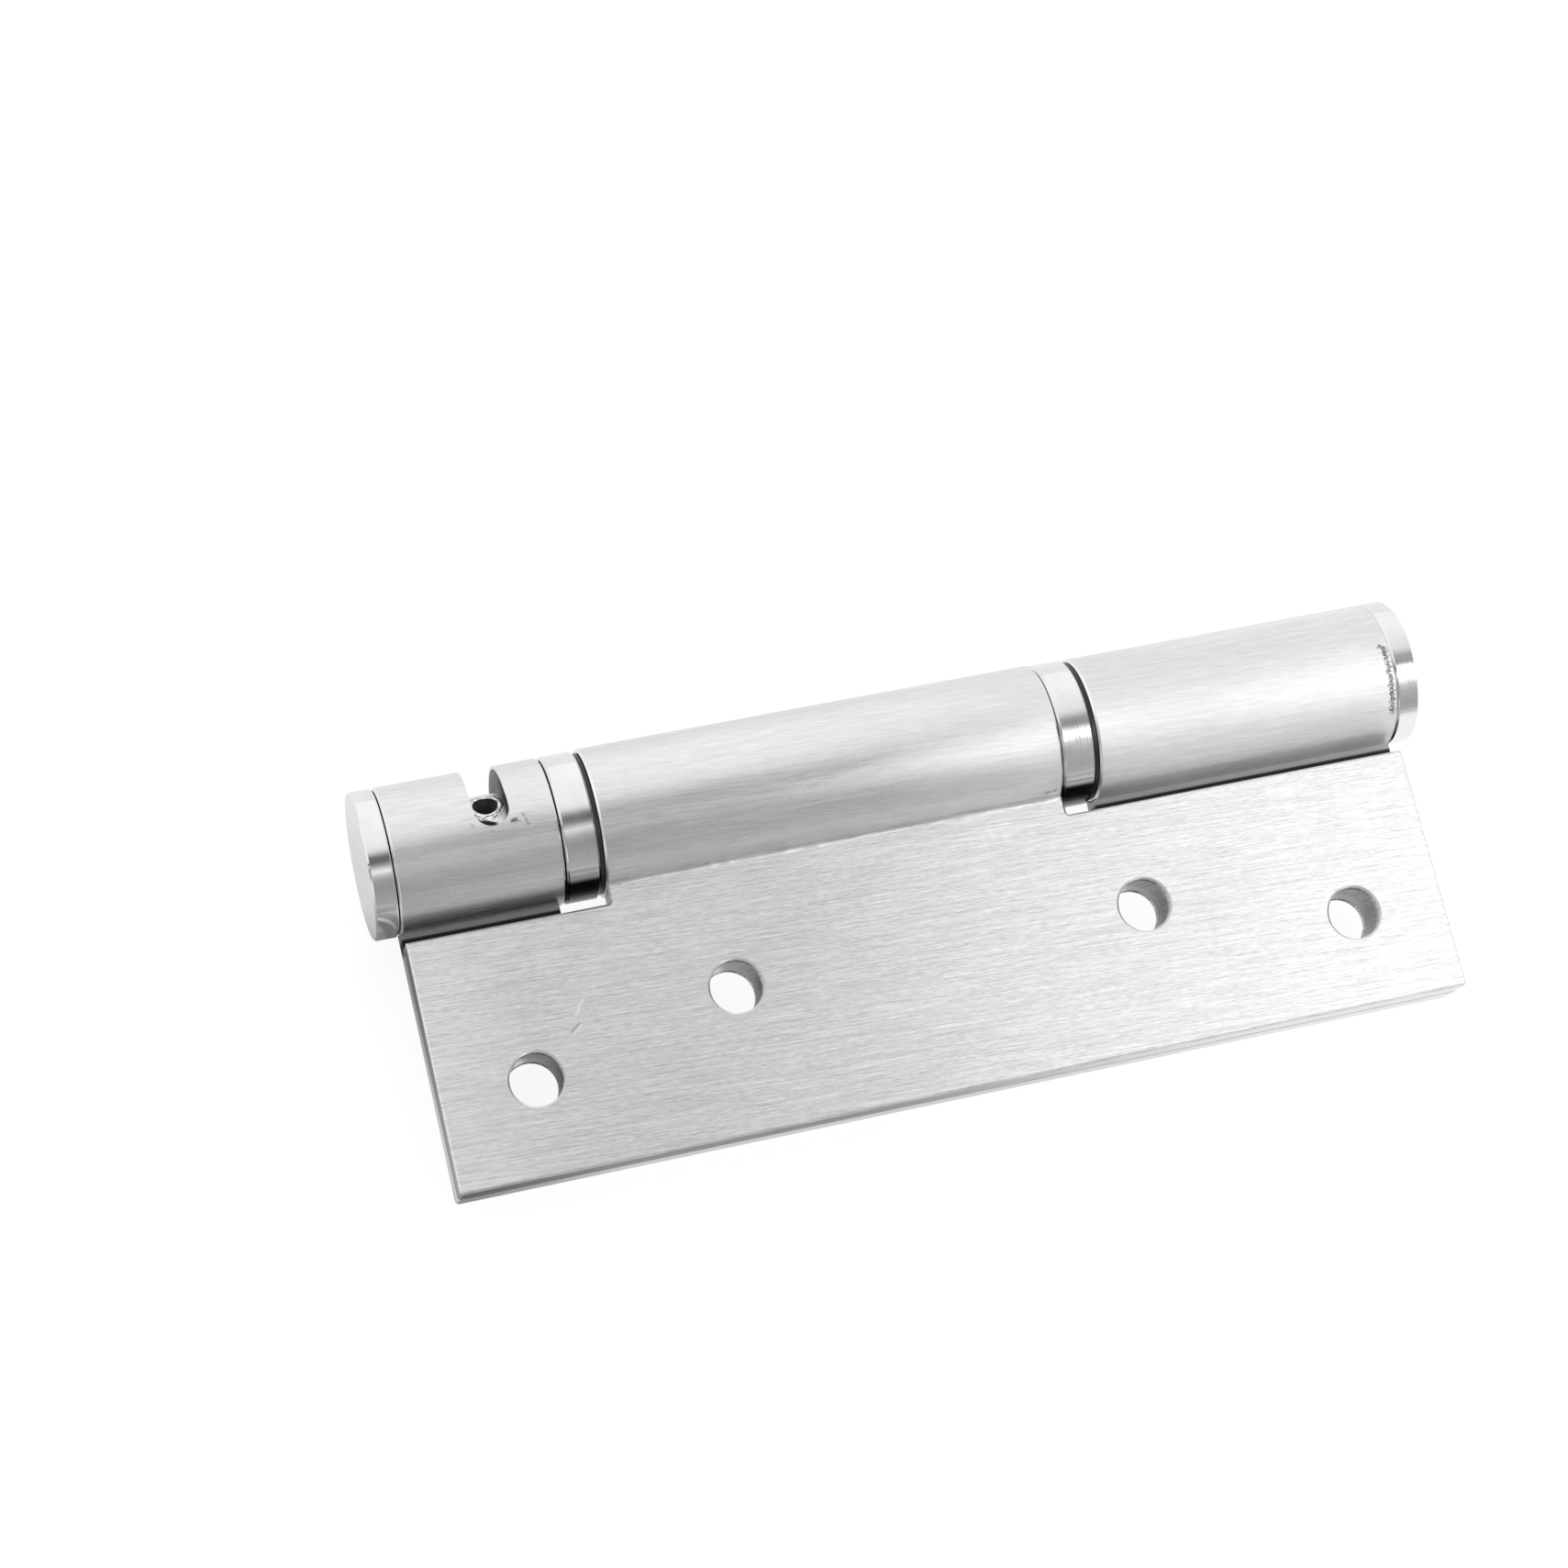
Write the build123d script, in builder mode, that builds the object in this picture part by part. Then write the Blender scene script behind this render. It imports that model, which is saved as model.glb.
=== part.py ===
from build123d import *
import math
import os

# Spring loaded door hinge, closed. X runs along the pivot axis, the leaves reach towards -Y,
# and +Z is square to the closed leaves, on the side of the door leaf. The origin is on the
# pivot axis, half way along the leaves. Angles round the pivot are measured from +Z towards +Y.

# Leaves
leaf_length = 127.0
leaf_reach = 41.6          # pivot axis to the outer edge of a leaf
leaf_t = 3.5
leaf_gap = 0.2             # between the inner faces of the closed leaves
leaf_corner_r = 0.5
notch_corner_r = 0.4
short_tab_setback = 0.7    # the short knuckle stands this far past its tab, beside the left ring
edge_break = 0.25          # chamfer on the outer edges of leaves and knuckles

# Screw holes, in a zigzag along each leaf
screw_hole_r = 3.25
screw_rim_break = 0.25
countersink_r = 5.6
countersink_angle = 90.0
end_hole_inset = 11.7      # the two outer holes, from the leaf's ends
end_hole_y = 30.0          # and from the pivot axis
mid_hole_x = 25.9          # the two inner holes, from the leaf's middle
mid_hole_y = 23.8

# Barrel
barrel_r = 9.05            # end knuckles, bearing rings and caps
middle_proud = 0.15        # the middle knuckle stands this much above the others
bore_r = 5.85
short_knuckle_length = 20.1
middle_knuckle_length = 57.7
ring_length = 4.1
seat_gap = 0.2             # between a ring and the knuckle that it is pressed into
run_gap = 0.6              # between a ring and the knuckle that turns against it
cap_t = 2.8
cap_edge_break = 0.2
short_cap_gap = 0.2        # the short end's cap isn't pressed quite home
spigot_length = 3.0        # pressed into a bore, on caps and rings

# Fits
running_fit = 0.05         # radial, between a shaft and its bearing
free_gap = 0.3             # between pieces that stay clear of each other
swing_gap = 0.4            # between a pin's swept circle and the leaf edge that it passes

# Thrust washers
washer_t = 0.4
washer_inset = 0.35        # their rim lies below the barrel's surface

# Tension adjuster and its slot
slot_side_gap = 0.65       # on each side of the tension pin
slot_land = 2.35           # between the slot and the left ring's spigot
slot_start_angle = 12.5    # centre of the rounded end beside the door leaf's face
tension_pin_angle = 157.5  # where the spring holds the pin
adjuster_hole_rows = 3     # drilled right through, so six holes show round the plug
tension_pin_r = 1.5
tension_pin_depth = 2.0    # from the pivot axis to the pin's inner end
pin_head_r = 2.8
pin_head_t = 1.0
pin_head_break = 0.35
pin_head_lift = 0.2        # between the barrel and the underside of the head
pin_dish_r = 1.7
pin_dish_depth = 0.15
neck_r = 3.7
square_corner_gap = 0.02   # from the corners of the adjuster's square end to the neck's surface
square_length = 3.8

# Torsion spring and the two pieces that hold its legs
wire = 1.9                 # square wire
coil_gap = 0.6             # between the coil and the bore
coil_turns = 11
leg_grind = 0.1            # the legs are this much thinner than the wire
leg_hole_gap = 0.23        # round the corners of a leg
leg_hole_depth = 3.0
leg_end_gap = 0.2
socket_floor = 0.5         # between the square socket and the leg hole
hub_gap = 0.35             # between the coil and the hubs that guide it
spring_hub_length = 5.0

# Spring anchor, fixed to the middle knuckle by a domed pin in a collar
anchor_length = 9.0
anchor_pin_land = 0.55     # between the collar and the right ring's spigot
anchor_pin_angle = 172.5
anchor_pin_r = 2.2
anchor_pin_depth = 1.8     # from the pivot axis to the pin's inner end
anchor_dome_rise = 0.55
collar_r = 3.15
collar_rise = 1.8          # above the middle knuckle
collar_break = 0.3
spindle_end_gap = 3.5      # between the end of the spindle and the cap's spigot
spindle_lead = 0.6         # that the spindle stands out of its outer bush

# Bushes
middle_bush_length = 6.5
long_bush_spacing = 8.0    # between the two in the long knuckle

# Places along the pivot
end_x = leaf_length / 2
short_x0 = -end_x
short_x1 = short_x0 + short_knuckle_length
left_ring_x0 = short_x1 + seat_gap
left_ring_x1 = left_ring_x0 + ring_length
middle_x0 = left_ring_x1 + run_gap
middle_x1 = middle_x0 + middle_knuckle_length
right_ring_x0 = middle_x1 + seat_gap
right_ring_x1 = right_ring_x0 + ring_length
long_x0 = right_ring_x1 + run_gap
long_x1 = end_x

adjuster_x0 = short_x0 + spigot_length + free_gap
adjuster_x1 = short_x1 - spigot_length - free_gap
middle_bush_x0 = middle_x0 + free_gap
square_x0 = middle_bush_x0 + middle_bush_length + free_gap
square_x1 = square_x0 + square_length
driver_x0 = square_x0 + free_gap
driver_socket_x1 = square_x1 + leg_end_gap
driver_x1 = driver_socket_x1 + socket_floor + leg_hole_depth
anchor_x1 = middle_x1 - spigot_length - seat_gap
anchor_x0 = anchor_x1 - anchor_length
spindle_x1 = long_x1 - spigot_length - spindle_end_gap
long_inner_bush_x0 = long_x0 + free_gap
long_outer_bush_x1 = spindle_x1 - spindle_lead
long_bush_length = (long_outer_bush_x1 - long_inner_bush_x0 - long_bush_spacing) / 2
long_outer_bush_x0 = long_outer_bush_x1 - long_bush_length
slot_width = 2 * (tension_pin_r + slot_side_gap)
slot_x = short_x1 - spigot_length - slot_land - slot_width / 2
anchor_pin_x = middle_x1 - spigot_length - anchor_pin_land - collar_r

# Radii and heights that follow from the sizes above
middle_knuckle_r = barrel_r + middle_proud
plug_r = bore_r - running_fit
neck_bore_r = neck_r + running_fit
adjuster_hole_r = tension_pin_r + running_fit
square_across = math.sqrt(2) * (neck_r - square_corner_gap)
driver_r = bore_r - free_gap
coil_r = bore_r - coil_gap - wire / 2
spring_hub_r = coil_r - wire / 2 - hub_gap
leg_width = wire - leg_grind
leg_hole_r = leg_width / math.sqrt(2) + leg_hole_gap
inner_z = leaf_gap / 2
outer_z = inner_z + leaf_t
pin_head_seat_r = barrel_r + pin_head_lift
pin_head_top_r = pin_head_seat_r + pin_head_t
pin_head_flat_r = pin_head_r - pin_head_break
pin_sweep_r = math.hypot(pin_head_top_r, pin_head_flat_r)
collar_top_r = middle_knuckle_r + collar_rise
anchor_tip_r = collar_top_r + anchor_dome_rise
anchor_sweep_r = max(anchor_tip_r, math.hypot(collar_top_r, collar_r - collar_break))
door_notch_y = pin_sweep_r + swing_gap
frame_notch_y = anchor_sweep_r + swing_gap
tab_root_y = barrel_r / 2  # the knuckle cuts the tabs back from here to its own surface
screw_holes = [(side * (end_x - end_hole_inset), end_hole_y) for side in (-1, 1)]
screw_holes += [(side * mid_hole_x, mid_hole_y) for side in (-1, 1)]

# The shank stops this far short of the centre of the slot's rounded ends
pin_travel = math.degrees((slot_width / 2 - tension_pin_r - free_gap) / barrel_r)
slot_end_angle = tension_pin_angle - pin_travel

os.makedirs("parts", exist_ok=True)


def outwards(angle):
    """Direction of the radius at this angle round the pivot."""
    a = math.radians(angle)
    return Vector(0, math.sin(a), math.cos(a))


def radial_plane(x, angle, radius=0.0):
    """Plane square to the radius at this angle, its normal pointing outwards."""
    return Plane(origin=Vector(x, 0, 0) + outwards(angle) * radius, x_dir=(1, 0, 0), z_dir=outwards(angle))


def section_plane(x, angle):
    """Plane through the pivot axis at this angle, its own y running out along the radius."""
    return Plane(origin=(x, 0, 0), x_dir=(1, 0, 0), z_dir=Vector(1, 0, 0).cross(outwards(angle)))


# Door leaf: one tab, on the middle knuckle
with BuildPart() as door_leaf:
    with BuildSketch(Plane.XY.offset(inner_z)) as outline:
        with Locations((0, -(leaf_reach + door_notch_y) / 2)):
            Rectangle(leaf_length, leaf_reach - door_notch_y)
        with Locations((middle_x0, -door_notch_y)):
            Rectangle(middle_knuckle_length, door_notch_y - tab_root_y, align=(Align.MIN, Align.MIN))
        fillet(outline.vertices().group_by(Axis.Y)[0], leaf_corner_r)
        root_corners = outline.vertices().filter_by(
            lambda v: abs(v.Y + door_notch_y) < 0.01 and middle_x0 - 1 < v.X < middle_x1 + 1
        )
        fillet(root_corners, notch_corner_r)
    extrude(amount=leaf_t)
    chamfer(door_leaf.faces().sort_by(Axis.Z)[-1].edges(), edge_break)
    with BuildSketch(Plane.YZ.offset(middle_x0)):
        Circle(middle_knuckle_r)
    extrude(amount=middle_knuckle_length, mode=Mode.SUBTRACT)
    with Locations(Plane(origin=(0, 0, inner_z), x_dir=(1, 0, 0), z_dir=(0, 0, -1))):
        with Locations(screw_holes):
            CounterSinkHole(screw_hole_r, countersink_r, leaf_t, countersink_angle)
    rims = door_leaf.faces().sort_by(Axis.Z)[-1].edges().filter_by(GeomType.CIRCLE)
    chamfer(rims.filter_by(lambda e: abs(e.radius - screw_hole_r) < 0.01), screw_rim_break)
door_leaf.part.label = "door_leaf"

# Frame leaf: two tabs, on the short and the long end knuckle
with BuildPart() as frame_leaf:
    with BuildSketch(Plane.XY.offset(-outer_z)) as outline:
        with Locations((0, -(leaf_reach + frame_notch_y) / 2)):
            Rectangle(leaf_length, leaf_reach - frame_notch_y)
        for tab_x0, tab_x1 in ((short_x0, short_x1 - short_tab_setback), (long_x0, long_x1)):
            with Locations((tab_x0, -frame_notch_y)):
                Rectangle(tab_x1 - tab_x0, frame_notch_y - tab_root_y, align=(Align.MIN, Align.MIN))
        fillet(outline.vertices().group_by(Axis.Y)[0], leaf_corner_r)
        root_corners = outline.vertices().filter_by(
            lambda v: abs(v.Y + frame_notch_y) < 0.01 and short_x1 - 1 < v.X < long_x0 + 1
        )
        fillet(root_corners, notch_corner_r)
    extrude(amount=leaf_t)
    chamfer(frame_leaf.faces().sort_by(Axis.Z)[0].edges(), edge_break)
    with BuildSketch(Plane.YZ.offset(short_x0)):
        Circle(barrel_r)
    extrude(amount=leaf_length, mode=Mode.SUBTRACT)
    with Locations(Plane.XY.offset(-inner_z)):
        with Locations([(x, -y) for x, y in screw_holes]):
            CounterSinkHole(screw_hole_r, countersink_r, leaf_t, countersink_angle)
    rims = frame_leaf.faces().sort_by(Axis.Z)[0].edges().filter_by(GeomType.CIRCLE)
    chamfer(rims.filter_by(lambda e: abs(e.radius - screw_hole_r) < 0.01), screw_rim_break)
frame_leaf.part.label = "frame_leaf"

# Short knuckle, with the slot that the tension pin travels in
with BuildPart() as short_knuckle:
    with BuildSketch(Plane.YZ.offset(short_x0)):
        Circle(barrel_r)
        Circle(bore_r, mode=Mode.SUBTRACT)
    extrude(amount=short_knuckle_length)
    ends = short_knuckle.edges().filter_by(GeomType.CIRCLE).filter_by(lambda e: e.radius > bore_r + 0.1)
    chamfer(ends, edge_break)
    with BuildSketch(section_plane(slot_x, slot_start_angle)):
        with Locations((0, (bore_r + barrel_r) / 2)):
            Rectangle(slot_width, 2 * (barrel_r - bore_r))
    slot_arc = slot_end_angle - slot_start_angle
    revolve(axis=Axis((0, 0, 0), (-1, 0, 0)), revolution_arc=slot_arc, mode=Mode.SUBTRACT)
    for angle in (slot_start_angle, slot_end_angle):
        with BuildSketch(radial_plane(slot_x, angle)):
            Circle(slot_width / 2)
        extrude(amount=barrel_r + 1, mode=Mode.SUBTRACT)
short_knuckle.part.label = "short_knuckle"

# Middle knuckle, with the hole for the anchor pin's collar
with BuildPart() as middle_knuckle:
    with BuildSketch(Plane.YZ.offset(middle_x0)):
        Circle(middle_knuckle_r)
        Circle(bore_r, mode=Mode.SUBTRACT)
    extrude(amount=middle_knuckle_length)
    ends = middle_knuckle.edges().filter_by(GeomType.CIRCLE).filter_by(lambda e: e.radius > bore_r + 0.1)
    chamfer(ends, edge_break)
    with BuildSketch(radial_plane(anchor_pin_x, anchor_pin_angle)):
        Circle(collar_r)
    extrude(amount=middle_knuckle_r + 1, mode=Mode.SUBTRACT)
middle_knuckle.part.label = "middle_knuckle"

# Long knuckle, a plain tube
with BuildPart() as long_knuckle:
    with BuildSketch(Plane.YZ.offset(long_x0)):
        Circle(barrel_r)
        Circle(bore_r, mode=Mode.SUBTRACT)
    extrude(amount=long_x1 - long_x0)
    ends = long_knuckle.edges().filter_by(GeomType.CIRCLE).filter_by(lambda e: e.radius > bore_r + 0.1)
    chamfer(ends, edge_break)
long_knuckle.part.label = "long_knuckle"

# End caps, each a disc with a spigot pressed into the bore
caps = []
for name, bore_x, flange_x, outward in (
    ("short_end_cap", short_x0, short_x0 - short_cap_gap, -1),
    ("long_end_cap", long_x1, long_x1, 1),
):
    with BuildPart() as cap:
        with BuildSketch(Plane.XY):
            with BuildLine():
                Polyline(
                    (bore_x - outward * spigot_length, 0),
                    (flange_x + outward * cap_t, 0),
                    (flange_x + outward * cap_t, barrel_r),
                    (flange_x, barrel_r),
                    (flange_x, bore_r),
                    (bore_x - outward * spigot_length, bore_r),
                    close=True,
                )
            make_face()
        revolve(axis=Axis.X)
        rim = cap.edges().filter_by(GeomType.CIRCLE).filter_by(lambda e: e.radius > barrel_r - 0.1)
        chamfer(rim, cap_edge_break)
    cap.part.label = name
    caps.append(cap)

# Bearing rings: a flange between two knuckles and a spigot in the one on its left
rings = []
for name, flange_x in (("left_bearing_ring", left_ring_x0), ("right_bearing_ring", right_ring_x0)):
    with BuildPart() as ring:
        with BuildSketch(Plane.XY):
            with BuildLine():
                Polyline(
                    (flange_x - seat_gap - spigot_length, neck_bore_r),
                    (flange_x + ring_length, neck_bore_r),
                    (flange_x + ring_length, barrel_r),
                    (flange_x, barrel_r),
                    (flange_x, bore_r),
                    (flange_x - seat_gap - spigot_length, bore_r),
                    close=True,
                )
            make_face()
        revolve(axis=Axis.X)
        rim = ring.edges().filter_by(GeomType.CIRCLE).filter_by(lambda e: e.radius > barrel_r - 0.1)
        chamfer(rim, edge_break)
    ring.part.label = name
    rings.append(ring)

# Thrust washers between each ring and the knuckle that turns against it
washers = []
for name, ring_face_x in (("left_thrust_washer", left_ring_x1), ("right_thrust_washer", right_ring_x1)):
    with BuildPart() as washer:
        with BuildSketch(Plane.YZ.offset(ring_face_x + (run_gap - washer_t) / 2)):
            Circle(barrel_r - washer_inset)
            Circle(neck_bore_r, mode=Mode.SUBTRACT)
        extrude(amount=washer_t)
    washer.part.label = name
    washers.append(washer)

# Bushes pressed into the knuckles
bushes = []
for name, bush_x0, bush_length in (
    ("middle_knuckle_bush", middle_bush_x0, middle_bush_length),
    ("long_knuckle_inner_bush", long_inner_bush_x0, long_bush_length),
    ("long_knuckle_outer_bush", long_outer_bush_x0, long_bush_length),
):
    with BuildPart() as bush:
        with BuildSketch(Plane.YZ.offset(bush_x0)):
            Circle(bore_r)
            Circle(neck_bore_r, mode=Mode.SUBTRACT)
        extrude(amount=bush_length)
    bush.part.label = name
    bushes.append(bush)

# Tension adjuster: a drilled plug, a neck through the left ring and a square end
with BuildPart() as tension_adjuster:
    with BuildSketch(Plane.YZ.offset(adjuster_x0)):
        Circle(plug_r)
    extrude(amount=adjuster_x1 - adjuster_x0)
    with BuildSketch(Plane.YZ.offset(adjuster_x1)):
        Circle(neck_r)
    extrude(amount=square_x0 - adjuster_x1)
    with BuildSketch(Plane.YZ.offset(square_x0)):
        Rectangle(square_across, square_across)
    extrude(amount=square_length)
    for row in range(adjuster_hole_rows):
        with BuildSketch(radial_plane(slot_x, tension_pin_angle + row * 180 / adjuster_hole_rows)):
            Circle(adjuster_hole_r)
        extrude(amount=plug_r + 1, both=True, mode=Mode.SUBTRACT)
tension_adjuster.part.label = "tension_adjuster"

# Tension pin: a shank in one hole of the adjuster, and a flat head over the slot
with BuildPart() as tension_pin:
    pin_plane = radial_plane(slot_x, tension_pin_angle)
    with BuildSketch(pin_plane.offset(tension_pin_depth)):
        Circle(tension_pin_r)
    extrude(amount=pin_head_seat_r - tension_pin_depth)
    with BuildSketch(pin_plane.offset(pin_head_seat_r)):
        Circle(pin_head_r)
    extrude(amount=pin_head_t)
    top_rim = tension_pin.faces().sort_by(Axis((0, 0, 0), outwards(tension_pin_angle)))[-1].edges()
    chamfer(top_rim, pin_head_break)
    with BuildSketch(pin_plane.offset(pin_head_top_r - pin_dish_depth)):
        Circle(pin_dish_r)
    extrude(amount=pin_dish_depth, mode=Mode.SUBTRACT)
tension_pin.part.label = "tension_pin"

# Spring driver: turned by the adjuster's square end, and holds one leg of the spring
with BuildPart() as spring_driver:
    with BuildSketch(Plane.YZ.offset(driver_x0)):
        Circle(driver_r)
    extrude(amount=driver_x1 - driver_x0)
    with BuildSketch(Plane.YZ.offset(driver_x1)):
        Circle(spring_hub_r)
    extrude(amount=spring_hub_length)
    with BuildSketch(Plane.YZ.offset(driver_x0)):
        Rectangle(square_across + 2 * running_fit, square_across + 2 * running_fit)
    extrude(amount=driver_socket_x1 - driver_x0, mode=Mode.SUBTRACT)
    with BuildSketch(Plane.YZ.offset(driver_x1)):
        with Locations((0, coil_r)):
            Circle(leg_hole_r)
        Circle(spring_hub_r, mode=Mode.SUBTRACT)
    extrude(amount=-leg_hole_depth, mode=Mode.SUBTRACT)
spring_driver.part.label = "spring_driver"

# Spring anchor: a plug pinned in the middle knuckle, and a spindle that turns in the long one
with BuildPart() as spring_anchor:
    with BuildSketch(Plane.YZ.offset(anchor_x0)):
        Circle(plug_r)
    extrude(amount=anchor_length)
    with BuildSketch(Plane.YZ.offset(anchor_x1)):
        Circle(neck_r)
    extrude(amount=spindle_x1 - anchor_x1)
    chamfer(spring_anchor.faces().sort_by(Axis.X)[-1].edges(), edge_break)
    with BuildSketch(Plane.YZ.offset(anchor_x0)):
        Circle(spring_hub_r)
    extrude(amount=-spring_hub_length)
    with BuildSketch(Plane.YZ.offset(anchor_x0)):
        with Locations((0, coil_r)):
            Circle(leg_hole_r)
        Circle(spring_hub_r, mode=Mode.SUBTRACT)
    extrude(amount=leg_hole_depth, mode=Mode.SUBTRACT)
    with BuildSketch(radial_plane(anchor_pin_x, anchor_pin_angle, anchor_pin_depth)):
        Circle(anchor_pin_r)
    extrude(amount=plug_r, mode=Mode.SUBTRACT)
spring_anchor.part.label = "spring_anchor"

# Collar that the anchor pin is pressed into, hollowed to the bore
collar_root_r = math.sqrt(bore_r**2 - collar_r**2)
with BuildPart() as anchor_pin_collar:
    with BuildSketch(radial_plane(anchor_pin_x, anchor_pin_angle, collar_root_r)):
        Circle(collar_r)
        Circle(anchor_pin_r, mode=Mode.SUBTRACT)
    extrude(amount=collar_top_r - collar_root_r)
    top_edges = anchor_pin_collar.faces().sort_by(Axis((0, 0, 0), outwards(anchor_pin_angle)))[-1].edges()
    chamfer(top_edges.filter_by(lambda e: e.radius > anchor_pin_r + 0.1), collar_break)
    with BuildSketch(Plane.YZ.offset(anchor_pin_x - collar_r)):
        Circle(bore_r)
    extrude(amount=2 * collar_r, mode=Mode.SUBTRACT)
anchor_pin_collar.part.label = "anchor_pin_collar"

# Anchor pin, domed outside the collar
dome_start_r = collar_top_r - anchor_pin_r / 2
dome_height = anchor_tip_r - dome_start_r
dome_sphere_r = (anchor_pin_r**2 + dome_height**2) / (2 * dome_height)
with BuildPart() as anchor_pin:
    with BuildSketch(section_plane(anchor_pin_x, anchor_pin_angle)):
        with BuildLine():
            Polyline(
                (0, anchor_tip_r),
                (0, anchor_pin_depth),
                (anchor_pin_r, anchor_pin_depth),
                (anchor_pin_r, dome_start_r),
            )
            RadiusArc((anchor_pin_r, dome_start_r), (0, anchor_tip_r), -dome_sphere_r)
        make_face()
    revolve(axis=Axis((anchor_pin_x, 0, 0), outwards(anchor_pin_angle)))
anchor_pin.part.label = "anchor_pin"

# Torsion spring: square wire, with a straight leg along the pivot at each end
spring_x0 = driver_x1 + free_gap + wire / 2
spring_x1 = anchor_x0 - free_gap - wire / 2
leg_tips = (driver_x1 - leg_hole_depth + leg_end_gap, anchor_x0 + leg_hole_depth - leg_end_gap)
with BuildPart() as torsion_spring:
    with BuildLine():
        coil = Helix(
            pitch=(spring_x1 - spring_x0) / coil_turns,
            height=spring_x1 - spring_x0,
            radius=coil_r,
            center=(spring_x0, 0, 0),
            direction=(1, 0, 0),
        )
    with BuildSketch(Plane(origin=coil @ 0, x_dir=(1, 0, 0), z_dir=coil % 0)):
        Rectangle(wire, wire)
    sweep(path=coil, is_frenet=True)
    for coil_end, leg_tip in zip((spring_x0 + wire / 2, spring_x1 - wire / 2), leg_tips):
        with BuildSketch(Plane.YZ.offset(coil_end)):
            with Locations((0, coil_r)):
                Rectangle(leg_width, leg_width)
        extrude(amount=leg_tip - coil_end)
torsion_spring.part.label = "torsion_spring"

leaves = [frame_leaf, door_leaf]
knuckles = [short_knuckle, middle_knuckle, long_knuckle]
tensioner = [tension_adjuster, tension_pin, spring_driver, torsion_spring]
anchorage = [spring_anchor, anchor_pin_collar, anchor_pin]
pieces = leaves + knuckles + caps + rings + washers + bushes + tensioner + anchorage
for piece in pieces:
    export_step(piece.part, f"parts/{piece.part.label}.step")
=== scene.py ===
import math
import random

import bmesh
import bpy
from mathutils import Matrix, Vector, noise


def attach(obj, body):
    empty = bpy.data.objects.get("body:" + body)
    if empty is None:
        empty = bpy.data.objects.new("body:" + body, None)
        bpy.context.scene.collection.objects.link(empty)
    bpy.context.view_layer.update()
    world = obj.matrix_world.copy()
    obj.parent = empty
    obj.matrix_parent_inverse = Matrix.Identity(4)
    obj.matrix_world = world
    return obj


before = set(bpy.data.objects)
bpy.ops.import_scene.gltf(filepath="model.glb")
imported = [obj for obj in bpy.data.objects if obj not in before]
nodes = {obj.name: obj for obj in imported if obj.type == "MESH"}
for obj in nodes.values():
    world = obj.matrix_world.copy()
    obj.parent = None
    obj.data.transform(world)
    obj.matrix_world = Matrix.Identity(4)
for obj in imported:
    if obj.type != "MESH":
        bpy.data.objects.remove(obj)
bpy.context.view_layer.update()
scene = bpy.context.scene
MM = 0.001

# Sizes of the model that the looks and the added pieces refer to, in millimetres and degrees.
# An angle about the pivot is 0 straight up and grows towards the barrel's far side.
BARREL_R = 9.05
MIDDLE_R = 9.2
PLUG_R = 5.8
OUTER_Z = 3.6
LEAF_FRONT_Y = -41.6
TAB_GAP_Y = -11.2
SHORT_X = (-63.5, -43.4)
MIDDLE_X = (-38.5, 19.2)
LONG_X = (24.1, 63.5)
SHORT_TAB_END_X = -44.1
SLOT_X = -50.9
HOLE_R = 1.6
SCREW_HOLE_R = 3.25
HOLE_ANGLES = (-22.5, 37.5, 97.5, 157.5, 217.5, 277.5)
PIN_HOLE_ANGLE = 157.5
SCREW_HOLES = ((-51.8, -30.0), (-25.9, -23.8), (25.9, -23.8), (51.8, -30.0))

# Nearer to the pivot than this, a knuckle's end faces, bore and slot are rough and darkened by painted
# shade
SHADED_INSIDE_R = 8.75

# The way the brush strokes run. It is a little off the X axis, because the end faces are square to
# that axis and would have no direction across the strokes.
STROKE_RUN = (1.0, 0.011, 0.017)
BRUSHED = 0.85


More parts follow.
